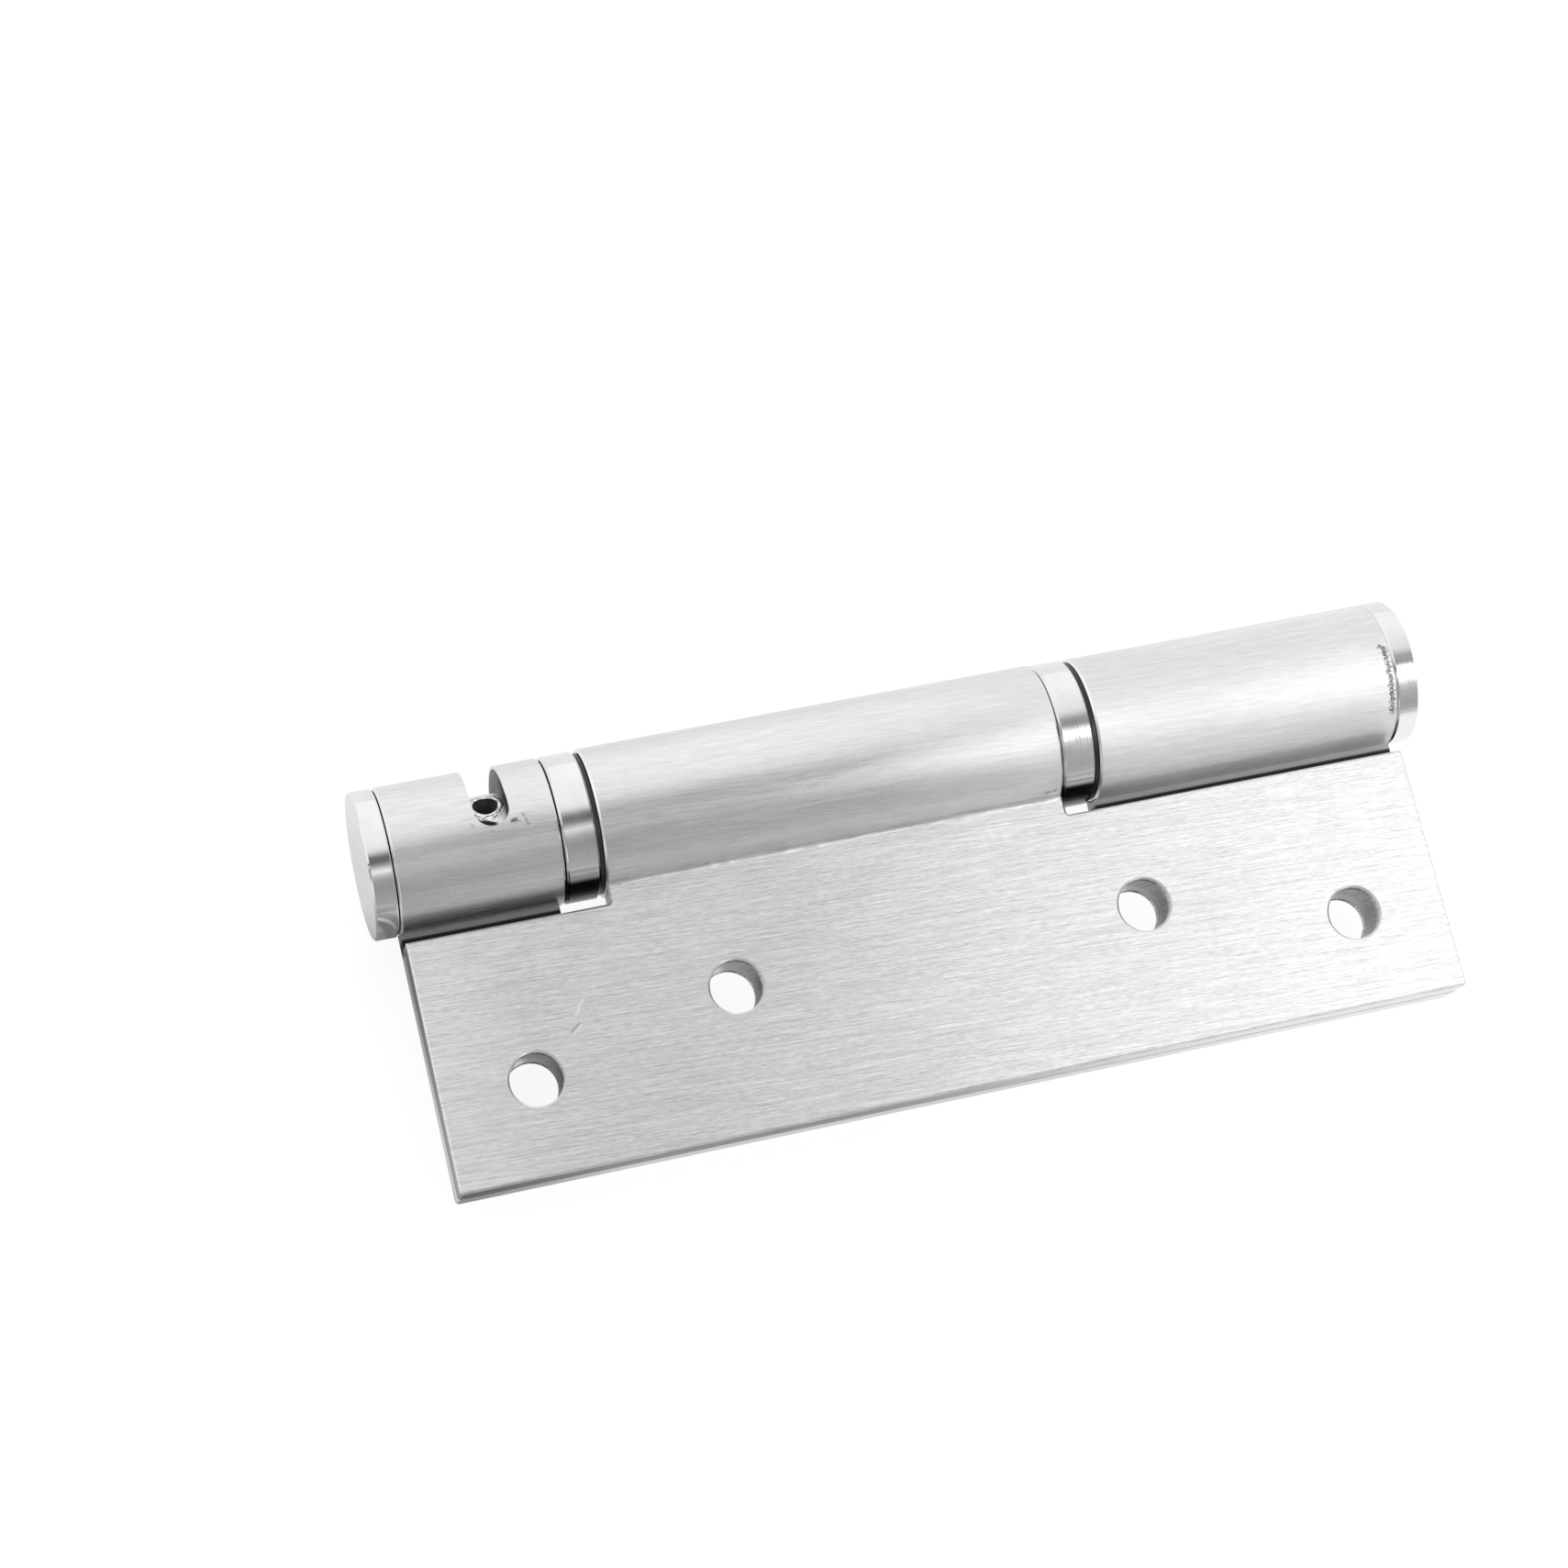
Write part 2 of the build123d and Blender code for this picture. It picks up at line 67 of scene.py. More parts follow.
class Tree:
    """Adds nodes to a shader tree. Each method returns the new node's output."""

    def __init__(self, shader_tree):
        self.shader_tree = shader_tree
        shader_tree.nodes.clear()
        self.coordinates = self.node("ShaderNodeTexCoord")

    def node(self, kind, **settings):
        made = self.shader_tree.nodes.new(kind)
        for key, value in settings.items():
            setattr(made, key, value)
        return made

    def put(self, socket, value):
        """Links an output to the socket, or sets the socket to a plain value."""
        if isinstance(value, bpy.types.NodeSocket):
            self.shader_tree.links.new(value, socket)
        else:
            socket.default_value = value

    def place(self):
        return self.coordinates.outputs["Object"]

    def facing(self):
        return self.coordinates.outputs["Normal"]

    def math(self, operation, *values, clamp=False):
        made = self.node("ShaderNodeMath", operation=operation, use_clamp=clamp)
        for socket, value in zip(made.inputs, values):
            self.put(socket, value)
        return made.outputs[0]

    def vector(self, operation, *values, scale=None):
        made = self.node("ShaderNodeVectorMath", operation=operation)
        for socket, value in zip(made.inputs, values):
            self.put(socket, value)
        if scale is not None:
            self.put(made.inputs["Scale"], scale)
        return made.outputs["Value" if operation in ("LENGTH", "DOT_PRODUCT") else "Vector"]

    def split(self, vector):
        made = self.node("ShaderNodeSeparateXYZ")
        self.put(made.inputs[0], vector)
        return made.outputs

    def join(self, x, y, z):
        made = self.node("ShaderNodeCombineXYZ")
        for socket, value in zip(made.inputs, (x, y, z)):
            self.put(socket, value)
        return made.outputs[0]

    def ramp(self, value, start, end, low=0.0, high=1.0):
        """Goes smoothly from low to high while value goes from start to end."""
        made = self.node("ShaderNodeMapRange", interpolation_type="SMOOTHSTEP")
        for socket, given in zip(made.inputs, (value, start, end, low, high)):
            self.put(socket, given)
        return made.outputs[0]

    def stepped(self, value, stops, unit=1.0):
        """Height at value, from stops of (place, height) with straight runs between them. The places
        are in this unit."""
        first = stops[0][0] * unit
        length = stops[-1][0] * unit - first
        top = max(height for place, height in stops)
        made = self.node("ShaderNodeValToRGB")
        self.put(made.inputs[0], self.math("DIVIDE", self.math("SUBTRACT", value, first), length))
        elements = made.color_ramp.elements
        elements.remove(elements[-1])
        for number, (place, height) in enumerate(stops):
            share = (place * unit - first) / length
            element = elements[0] if number == 0 else elements.new(share)
            element.position = share
            element.color = (height / top, height / top, height / top, 1.0)
        return self.math("MULTIPLY", made.outputs[0], top)

    def mix(self, factor, first, second):
        made = self.node("ShaderNodeMix", data_type="FLOAT")
        self.put(made.inputs[0], factor)
        self.put(made.inputs[2], first)
        self.put(made.inputs[3], second)
        return made.outputs[0]

    def total(self, *terms):
        """Sum of the terms; a term is a value, or a value and its weight."""
        out = None
        for term in terms:
            value = self.math("MULTIPLY", *term) if isinstance(term, tuple) else term
            out = value if out is None else self.math("ADD", out, value)
        return out

    def both(self, *masks):
        """Product of the masks, which is 1 only where all of them are."""
        out = masks[0]
        for mask in masks[1:]:
            out = self.math("MULTIPLY", out, mask)
        return out

    def cells(self, vector, size, turn=0.0, detail=1.0, roughness=0.5):
        """Noise of 0 to 1 whose cells have this size in millimetres, turned about Z by these degrees."""
        mapping = self.node("ShaderNodeMapping", vector_type="TEXTURE")
        self.put(mapping.inputs["Vector"], vector)
        mapping.inputs["Scale"].default_value = [side * MM for side in size]
        mapping.inputs["Rotation"].default_value = (0.0, 0.0, math.radians(turn))
        made = self.node("ShaderNodeTexNoise")
        self.put(made.inputs["Vector"], mapping.outputs[0])
        made.inputs["Scale"].default_value = 1.0
        made.inputs["Detail"].default_value = detail
        made.inputs["Roughness"].default_value = roughness
        return made.outputs["Fac"]

    def angle(self):
        """Angle about the pivot in degrees, and distance from it in metres."""
        y, z = self.split(self.place())[1:]
        degrees = self.math("DEGREES", self.math("ARCTAN2", y, z))
        return degrees, self.vector("LENGTH", self.join(0.0, y, z))

    def unrolled(self, radius):
        """The barrel's surface as a flat sheet, along the pivot and round it."""
        x, y, z = self.split(self.place())
        return self.join(x, self.math("MULTIPLY", self.math("ARCTAN2", y, z), radius * MM), 0.0)

    def line(self, start, end, width):
        """1 along the line between two places in millimetres, fading out at this width."""
        start = Vector(start) * MM
        run = Vector(end) * MM - start
        offset = self.vector("SUBTRACT", self.place(), tuple(start))
        share = self.vector("DOT_PRODUCT", offset, tuple(run / run.length_squared))
        share = self.math("MULTIPLY", share, 1.0, clamp=True)
        nearest = self.vector("SCALE", tuple(run), scale=share)
        distance = self.vector("LENGTH", self.vector("SUBTRACT", offset, nearest))
        return self.ramp(distance, width * 0.2 * MM, width * MM, 1.0, 0.0)


def around(degrees, x, radius=BARREL_R):
    """A place on the barrel, from its angle about the pivot."""
    turn = math.radians(degrees)
    return x, radius * math.sin(turn), radius * math.cos(turn)


def new_material(name):
    """A material, and its empty tree."""
    material = bpy.data.materials.new(name)
    material.use_nodes = True
    return material, Tree(material.node_tree)


def bumpy_shader(tree, height, depth):
    """The tree's shader, with a bump of this height. The depth of the height's 1 is in metres."""
    shader = tree.node("ShaderNodeBsdfPrincipled")
    output = tree.node("ShaderNodeOutputMaterial")
    tree.put(output.inputs["Surface"], shader.outputs[0])
    bump = tree.node("ShaderNodeBump")
    bump.inputs["Distance"].default_value = depth
    tree.put(bump.inputs["Height"], height)
    tree.put(shader.inputs["Normal"], bump.outputs[0])
    return shader


def metal(name, looks, grain=0.0):
    """A metal whose looks(tree) gives brightness, roughness, height and the height's depth in metres.
    With grain, its highlights spread across brush strokes that run along the pivot."""
    material, tree = new_material(name)
    brightness, roughness, height, depth = looks(tree)
    shader = bumpy_shader(tree, height, depth)
    shader.inputs["Metallic"].default_value = 1.0
    tree.put(shader.inputs["Base Color"], brightness)
    tree.put(shader.inputs["Roughness"], roughness)
    if grain:
        shader.inputs["Anisotropic"].default_value = grain
        normal = tree.node("ShaderNodeNewGeometry").outputs["Normal"]
        across = tree.vector("CROSS_PRODUCT", normal, STROKE_RUN)
        tree.put(shader.inputs["Tangent"], tree.vector("NORMALIZE", across))
    return material


# Brushed leaves
def leaf_looks(marks, shaded_left_edge=False, shaded_tabs=False):
    """Brushed faces with fine slanting strokes, sheared edges, bright hole rims, and these marks.
    The edge faces can be darker on the left, which is painted shade standing in for a darker reflection.
    The tabs can be darkened behind the door leaf, in the slit between it and the knuckles, which is
    painted shade, with a lighter painted reflection next to the knuckles."""
    def looks(tree):
        place = tree.place()
        x, y, z = tree.split(place)
        facing = tree.split(tree.facing())
        upright = tree.math("ABSOLUTE", facing["Z"])
        short = tree.cells(place, (1.1, 0.1, 3.0), turn=-2.0)
        medium = tree.cells(place, (4.5, 0.1, 3.0), turn=-1.5)
        long = tree.cells(place, (14.0, 0.14, 3.0), turn=-2.5)
        patches = tree.cells(place, (30.0, 9.0, 9.0), detail=2.0)
        brightness = tree.total((short, 0.5), (medium, 0.5), (long, 0.4), (patches, 0.06),
                                tree.ramp(x, 5.0 * MM, 50.0 * MM, 0.07, 0.1),
                                tree.ramp(x, -62.0 * MM, -50.0 * MM, 0.08, 0.0))
        dulled = tree.ramp(x, -20.0 * MM, 40.0 * MM, 0.28, 0.4)
        roughness = tree.total((patches, 0.08), (short, 0.06), dulled)

        sheared = tree.cells(place, (0.16, 0.16, 2.2), detail=3.0, roughness=0.6)
        side = tree.ramp(upright, 0.25, 0.12)
        edge = tree.total((sheared, 0.3), 0.68)
        # painted shade: the edge faces darken towards the left, standing in for a darker reflection
        # there
        if shaded_left_edge:
            edge = tree.math("MULTIPLY", edge, tree.ramp(x, -20.0 * MM, 30.0 * MM, 0.42, 1.0))
        brightness = tree.mix(side, brightness, edge)
        roughness = tree.mix(side, roughness, tree.total((sheared, 0.2), 0.3))
        joint = tree.both(side, tree.ramp(tree.math("ABSOLUTE", z), 0.3 * MM, 0.2 * MM))
        brightness = tree.mix(joint, brightness, 0.1)
        near_hole = None
        flat = tree.join(x, y, 0.0)
        for hole_x, hole_y in SCREW_HOLES:
            offset = tree.vector("SUBTRACT", flat, (hole_x * MM, hole_y * MM, 0.0))
            away = tree.vector("LENGTH", offset)
            near_hole = away if near_hole is None else tree.math("MINIMUM", near_hole, away)
        chamfer = tree.both(tree.ramp(upright, 0.97, 0.9), tree.ramp(upright, 0.2, 0.3))
        # painted shade: the screw holes' walls are darkened, and a painted sheen lightens the walls that
        # face left
        in_hole = tree.ramp(near_hole, (SCREW_HOLE_R + 0.25) * MM, (SCREW_HOLE_R + 0.15) * MM)
        shaded_hole_wall = tree.both(side, in_hole)
        left_facing_sheen = tree.ramp(facing["X"], -0.4, -1.0, 0.04, 0.36)
        streaked = tree.total(tree.ramp(sheared, 0.4, 0.6, 0.0, 0.36), left_facing_sheen)
        brightness = tree.mix(shaded_hole_wall, brightness, streaked)
        by_hole = tree.ramp(near_hole, (SCREW_HOLE_R + 0.55) * MM, (SCREW_HOLE_R + 0.35) * MM)
        rim = tree.both(chamfer, by_hole)
        brightness = tree.mix(rim, brightness, 0.98)
        roughness = tree.mix(rim, roughness, 0.5)

        back_edge = tree.both(side, tree.ramp(y, (TAB_GAP_Y - 0.2) * MM, TAB_GAP_Y * MM))
        brightness = tree.mix(back_edge, brightness, 0.65)
        # painted shade: the tabs' tops are darkened in the slit behind the door leaf, with a lighter
        # painted reflection next to the knuckles
        if shaded_tabs:
            painted_shade = tree.ramp(tree.total((sheared, 0.8 * MM), y), -11.6 * MM, -10.2 * MM)
            slit_brightness = tree.ramp(y, -9.85 * MM, -9.55 * MM, 0.03, 0.35)
            brightness = tree.mix(painted_shade, brightness, slit_brightness)
            roughness = tree.mix(painted_shade, roughness, 0.45)
        for light, start, end, width in marks:
            mark = tree.line(start, end, width)
            brightness = tree.mix(tree.math("MULTIPLY", mark, 0.6), brightness, 1.0 if light else 0.35)
            roughness = tree.mix(mark, roughness, 0.5)
        strokes = tree.total((short, 1.0), (medium, 1.0))
        height = tree.mix(side, strokes, tree.math("MULTIPLY", sheared, 3.0))
        return brightness, roughness, height, 1.2e-6
    return looks


# Each scratch: is it light, where it starts and ends in millimetres, and its width
SCRATCHES = (
    (True, (-44.3, -21.7, OUTER_Z), (-45.0, -22.3, OUTER_Z), 0.24),
    (True, (-45.0, -22.3, OUTER_Z), (-45.1, -22.8, OUTER_Z), 0.3),
    (True, (-45.1, -22.8, OUTER_Z), (-45.6, -23.4, OUTER_Z), 0.26),
    (False, (-45.5, -24.5, OUTER_Z), (-46.5, -25.2, OUTER_Z), 0.22),
    (True, (-45.3, -24.8, OUTER_Z), (-46.3, -25.5, OUTER_Z), 0.24),
)
door_leaf_steel = metal("door_leaf_brushed_steel", leaf_looks(SCRATCHES, shaded_left_edge=True), BRUSHED)
frame_leaf_steel = metal("frame_leaf_brushed_steel", leaf_looks((), shaded_tabs=True), BRUSHED)


# Brushed knuckles
def knuckle_looks(radius, marks, shaded_crease=False, pitted_end=False):
    """Brushed tube, with softly polished end chamfers, rough inner faces darkened by painted shade, and
    these marks. In a creased one, painted shade darkens it where it turns down into the slit behind the
    door leaf. A pitted one has a broken band of pits beside the long end's cap."""
    def looks(tree):
        place = tree.place()
        sheet = tree.unrolled(radius)
        x, y = tree.split(place)[:2]
        degrees, distance = tree.angle()
        short = tree.cells(sheet, (2.2, 0.13, 1.0), turn=-3.0)
        medium = tree.cells(sheet, (5.0, 0.25, 1.0), turn=-2.0)
        long = tree.cells(sheet, (16.0, 0.6, 1.0), turn=-1.0)
        patches = tree.cells(sheet, (26.0, 6.0, 1.0), detail=2.0)
        brightness = tree.total((short, 0.22), (medium, 0.2), (long, 0.14), (patches, 0.1), 0.49)
        dulled = tree.ramp(x, -10.0 * MM, 40.0 * MM, 0.2, 0.42)
        roughness = tree.total((patches, 0.08), (long, 0.06), dulled)

        end = tree.ramp(tree.math("ABSOLUTE", tree.split(tree.facing())[0]), 0.4, 0.6)
        brightness = tree.mix(end, brightness, 0.95)
        roughness = tree.mix(end, roughness, 0.22)
        milled = tree.cells(place, (0.5, 0.5, 0.5), detail=4.0, roughness=0.7)
        # painted shade: the inner faces are darkened, and painted light makes them lighter towards the
        # back
        inside = tree.ramp(distance, SHADED_INSIDE_R * MM, (SHADED_INSIDE_R - 0.15) * MM)
        lit = tree.ramp(y, 0.5 * MM, 8.5 * MM, 0.0, 0.42)
        brightness = tree.mix(inside, brightness, tree.total((milled, 0.24), lit, -0.06))
        roughness = tree.mix(inside, roughness, 0.5)
        if shaded_crease:
            # painted shade: the knuckle darkens where it turns down into the leaf's slit behind the door
            # leaf
            turned_down = tree.ramp(tree.total(degrees, (short, 5.0)), -61.0, -67.0)
            crease = tree.both(turned_down, tree.ramp(degrees, -130.0, -110.0), 0.15)
            brightness = tree.mix(crease, brightness, 0.06)
        blotch = tree.cells(place, (0.3, 0.3, 0.3), detail=3.0, roughness=0.6)
        for strength, start, finish, width in marks:
            mark = tree.both(tree.line(start, finish, width), tree.ramp(blotch, 0.34, 0.5))
            brightness = tree.mix(tree.math("MULTIPLY", mark, strength), brightness, 0.12)
            roughness = tree.mix(mark, roughness, 0.5)
        if pitted_end:
            speckle = tree.ramp(tree.cells(place, (0.16, 0.16, 0.16), detail=2.0), 0.36, 0.5)
            ragged = tree.total((blotch, 1.6 * MM), x)
            band = tree.both(tree.ramp(ragged, 63.1 * MM, 63.3 * MM),
                             tree.ramp(ragged, 63.9 * MM, 63.7 * MM),
                             tree.ramp(degrees, 10.0, 7.0), tree.ramp(degrees, -52.0, -44.0))
            brightness = tree.mix(tree.both(band, speckle), brightness, 0.15)
            roughness = tree.mix(band, roughness, 0.5)
        strokes = tree.total((short, 1.0), (medium, 1.2), (long, 1.0))
        height = tree.mix(inside, strokes, tree.math("MULTIPLY", milled, 14.0))
        return brightness, roughness, height, 5.0e-6
    return looks


# Each dark mark: its strength, where it starts and ends, and its width
SHORT_MARKS = (
    (0.9, around(-0.2, -48.75), around(0.6, -48.2), 0.34),
    (0.5, around(-0.6, -48.3), around(-1.4, -47.8), 0.2),
    (0.45, around(3.6, -47.35), around(-1.0, -47.1), 0.26),
    (0.4, around(-1.0, -47.1), around(-5.6, -46.9), 0.3),
    (0.35, around(-4.4, -47.0), around(-5.4, -46.2), 0.24),
    (0.35, around(3.2, -53.6), around(0.6, -53.4), 0.24),
    (0.4, around(-5.0, -51.4), around(-5.6, -51.1), 0.24),
)
MIDDLE_MARKS = (
    (0.6, around(-60.5, 16.8, MIDDLE_R), around(-59.5, 18.2, MIDDLE_R), 0.3),
)
LONG_MARKS = (
    (0.7, around(7.0, 62.5), around(9.2, 62.3), 0.24),
    (0.7, around(9.2, 62.3), around(7.6, 62.0), 0.22),
    (0.5, around(-11.0, 62.6), around(-12.5, 62.2), 0.24),
)
short_looks = knuckle_looks(BARREL_R, SHORT_MARKS, shaded_crease=True)
middle_looks = knuckle_looks(MIDDLE_R, MIDDLE_MARKS)
long_looks = knuckle_looks(BARREL_R, LONG_MARKS, shaded_crease=True, pitted_end=True)
short_steel = metal("short_knuckle_brushed_steel", short_looks, BRUSHED)
middle_steel = metal("middle_knuckle_brushed_steel", middle_looks, BRUSHED)
long_steel = metal("long_knuckle_brushed_steel", long_looks, BRUSHED)


# Polished and turned steel
def turned_looks(base, rough, shaded_foot=False):
    """Turned steel with faint lines round the pivot and a slight haze. A shaded foot is darkened by
    painted shade where it turns down into the leaf's notch."""
    def looks(tree):
        lines = tree.cells(tree.place(), (0.14, 9.0, 9.0), detail=2.0)
        haze = tree.cells(tree.place(), (2.4, 2.4, 2.4), detail=3.0)
        brightness = tree.total((lines, 0.12), (haze, 0.12), base - 0.12)
        roughness = tree.total((haze, 0.12), (lines, 0.06), rough - 0.09)
        if shaded_foot:
            # painted shade: the ring darkens where it turns down into the leaf's notch
            degrees = tree.angle()[0]
            upper_shade = tree.ramp(degrees, -46.0, -50.0, 0.0, 0.4)
            lower_shade = tree.ramp(degrees, -56.0, -61.0, 0.0, 0.56)
            foot_shade = tree.both(tree.total(upper_shade, lower_shade), tree.ramp(degrees, -130.0, -110.0))
            brightness = tree.math("MULTIPLY", brightness, tree.math("SUBTRACT", 1.0, foot_shade))
        return brightness, roughness, lines, 1.2e-6
    return looks


def cap_looks(tree):
    """Polished rim, and a satin face with faint turning rings."""
    place = tree.place()
    distance = tree.angle()[1]
    lines = tree.cells(place, (0.14, 9.0, 9.0), detail=2.0)
    haze = tree.cells(place, (2.0, 2.0, 2.0), detail=4.0)
    rings = tree.cells(tree.join(distance, 0.0, 0.0), (0.3, 1.0, 1.0), detail=2.0)
    face = tree.ramp(tree.math("ABSOLUTE", tree.split(tree.facing())[0]), 0.85, 0.97)
    rim_brightness = tree.total((lines, 0.1), (haze, 0.12), 0.75)
    face_brightness = tree.total((rings, 0.1), (haze, 0.12), 0.76)
    brightness = tree.mix(face, rim_brightness, face_brightness)
    roughness = tree.mix(face, tree.total((haze, 0.05), 0.04), tree.total((haze, 0.16), 0.3))
    return brightness, roughness, tree.mix(face, lines, rings), 1.2e-6


def adjuster_looks(tree):
    """Turned plug. Tools have smeared bright, streaked metal round each drilled hole, and painted shadow
    darkens the plug at the slot's lower end. Each of three axes runs through two of the six holes."""
    place = tree.place()
    degrees, distance = tree.angle()
    x = tree.split(place)[0]
    ragged = tree.cells(place, (0.5, 0.5, 0.5), detail=4.0, roughness=0.65)
    lines = tree.cells(place, (0.2, 6.0, 6.0), detail=2.0)
    away = None
    reach = tree.vector("SUBTRACT", place, (SLOT_X * MM, 0.0, 0.0))
    for angle in HOLE_ANGLES[:3]:
        axis = around(angle, 0.0, 1.0)
        from_axis = tree.vector("LENGTH", tree.vector("CROSS_PRODUCT", reach, axis))
        away = from_axis if away is None else tree.math("MINIMUM", away, from_axis)
    shape = tree.total((ragged, 0.9 * MM), away, -0.45 * MM)
    outside = tree.ramp(distance, (PLUG_R - 0.25) * MM, (PLUG_R - 0.1) * MM)
    brightness = tree.total((lines, 0.14), (ragged, 0.16), 0.68)
    roughness = tree.total((ragged, 0.2), 0.2)
    smear = tree.both(outside, tree.ramp(shape, 2.7 * MM, 2.2 * MM))
    sheet = tree.join(tree.total((ragged, 0.6 * MM), away), x, 0.0)
    streaks = tree.ramp(tree.cells(sheet, (0.13, 0.9, 1.0), detail=2.0), 0.46, 0.54)
    brightness = tree.mix(smear, brightness, tree.mix(streaks, 0.12, 0.95))
    roughness = tree.mix(smear, roughness, 0.24)
    lip = tree.both(outside, tree.ramp(tree.total((ragged, 0.5 * MM), away), 2.1 * MM, 2.0 * MM))
    brightness = tree.mix(lip, brightness, tree.ramp(ragged, 0.42, 0.55, 0.45, 0.98))
    # painted shadow: the plug darkens at the slot's lower end, where the slot's end wall shades it
    degrees_per_mm = 3.2
    slot_end = tree.total((ragged, 5.0), degrees, (x, degrees_per_mm / MM),
                          -2.5 - degrees_per_mm * SLOT_X)
    painted_shade = tree.both(outside, tree.ramp(slot_end, 13.0, 11.5), tree.ramp(slot_end, -30.0, -28.0),
                       tree.ramp(x, (SLOT_X + 1.2) * MM, (SLOT_X + 0.5) * MM))
    brightness = tree.mix(painted_shade, brightness, 0.03)
    bore = tree.both(tree.ramp(away, (HOLE_R + 0.04) * MM, (HOLE_R + 0.01) * MM),
                     tree.ramp(distance, (PLUG_R - 0.02) * MM, (PLUG_R - 0.1) * MM))
    brightness = tree.mix(bore, brightness, tree.total((ragged, 0.6), 0.2))
    roughness = tree.mix(tree.math("MAXIMUM", bore, painted_shade), roughness, 0.5)
    height = tree.total((lines, 0.2), (tree.both(smear, ragged), 5.0))
    return brightness, roughness, height, 8.0e-6


def plain_looks(base, rough, cell):
    """Steel that is mottled a little, in cells of this many millimetres."""
    def looks(tree):
        grain = tree.cells(tree.place(), (cell, cell, cell), detail=4.0, roughness=0.6)
        brightness = tree.total((grain, 0.24), base - 0.12)
        roughness = tree.total((grain, 0.16), rough - 0.08)
        return brightness, roughness, grain, 2.0e-6
    return looks


def weld_looks(tree):
    """Weld brushed flush along the crease: streaks, with a few small dark marks."""
    place = tree.place()
    short = tree.cells(place, (2.5, 0.16, 0.16))
    long = tree.cells(place, (7.0, 0.4, 0.4))
    blots = tree.cells(place, (1.1, 0.25, 0.25), detail=3.0, roughness=0.6)
    brightness = tree.total((short, 0.4), (long, 0.3), 0.3)
    brightness = tree.mix(tree.ramp(blots, 0.64, 0.72, 0.0, 0.7), brightness, 0.15)
    roughness = tree.total((long, 0.15), 0.32)
    height = tree.total((short, 1.0), (blots, 1.5))
    return brightness, roughness, height, 6.0e-6


def coloured(name, colour, rough, metallic, cell):
    """A material with a colour that varies a little, in cells of this many millimetres."""
    material, tree = new_material(name)
    grain = tree.cells(tree.place(), (cell, cell, cell), detail=4.0, roughness=0.6)
    shader = bumpy_shader(tree, grain, 3.0e-6)
    shader.inputs["Metallic"].default_value = metallic
    shade = tree.node("ShaderNodeMix", data_type="RGBA")
    tree.put(shade.inputs[0], grain)
    shade.inputs[6].default_value = (*[0.7 * part for part in colour], 1.0)
    shade.inputs[7].default_value = (*[1.3 * part for part in colour], 1.0)
    tree.put(shader.inputs["Base Color"], shade.outputs[2])
    tree.put(shader.inputs["Roughness"], tree.total((grain, 0.2), rough - 0.1))
    return material


ring_steel = metal("polished_ring_steel", turned_looks(base=0.86, rough=0.1, shaded_foot=True))
cap_steel = metal("polished_cap_steel", cap_looks)
adjuster_steel = metal("turned_adjuster_steel", adjuster_looks)
pin_steel = metal("pin_steel", plain_looks(base=0.84, rough=0.22, cell=0.9))
dome_steel = metal("polished_pin_steel", plain_looks(base=0.88, rough=0.12, cell=1.4))
core_steel = metal("core_steel", turned_looks(base=0.62, rough=0.26))
spring_steel = metal("spring_steel", plain_looks(base=0.4, rough=0.34, cell=0.7))
weld_steel = metal("brushed_weld_steel", weld_looks, grain=0.5)
BRONZE_COLOUR = (0.52, 0.33, 0.14)
BLACK = (0.014, 0.014, 0.014)
bronze = coloured("bush_bronze", BRONZE_COLOUR, rough=0.35, metallic=1.0, cell=0.6)
plastic = coloured("washer_black_plastic", BLACK, rough=0.35, metallic=0.0, cell=0.4)

LOOKS = {
    "door_leaf": door_leaf_steel,
    "frame_leaf": frame_leaf_steel,
    "short_knuckle": short_steel,
    "middle_knuckle": middle_steel,
    "long_knuckle": long_steel,
    "left_bearing_ring": ring_steel,
    "right_bearing_ring": ring_steel,
    "short_end_cap": cap_steel,
    "long_end_cap": cap_steel,
    "tension_adjuster": adjuster_steel,
    "tension_pin": pin_steel,
    "anchor_pin": dome_steel,
    "anchor_pin_collar": pin_steel,
    "spring_driver": core_steel,
    "spring_anchor": core_steel,
    "torsion_spring": spring_steel,
    "middle_knuckle_bush": bronze,
    "long_knuckle_inner_bush": bronze,
    "long_knuckle_outer_bush": bronze,
    "left_thrust_washer": plastic,
    "right_thrust_washer": plastic,
}
for name, material in LOOKS.items():
    for slot in nodes[name].material_slots:
        slot.material = material


SHARP_DEGREES = 40


def piece_from(bm, name, material, body):
    """Turns a bmesh into a smooth-shaded piece that rides on a body."""
    bmesh.ops.recalc_face_normals(bm, faces=bm.faces)
    mesh = bpy.data.meshes.new(name)
    bm.to_mesh(mesh)
    bm.free()
    for face in mesh.polygons:
        face.use_smooth = True
    mesh.set_sharp_from_angle(angle=math.radians(SHARP_DEGREES))
    mesh.materials.append(material)
    piece = bpy.data.objects.new(name, mesh)
    scene.collection.objects.link(piece)
    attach(piece, body)
    return piece


def join_sections(bm, sections):
    """Faces between each section and the next, all the way round."""
    for first, second in zip(sections, sections[1:]):
        for number in range(len(first)):
            after = (number + 1) % len(first)
            bm.faces.new((first[number], first[after], second[after], second[number]))


# Welded creases
WELD_INSET = 0.3
WELD_STEP = 0.35
WELD_FADE = 0.8
WELD_SIZE = 0.55
BROAD_WAVES = 0.45
FINE_WAVES = 1.9
CURVE_STEPS = 6


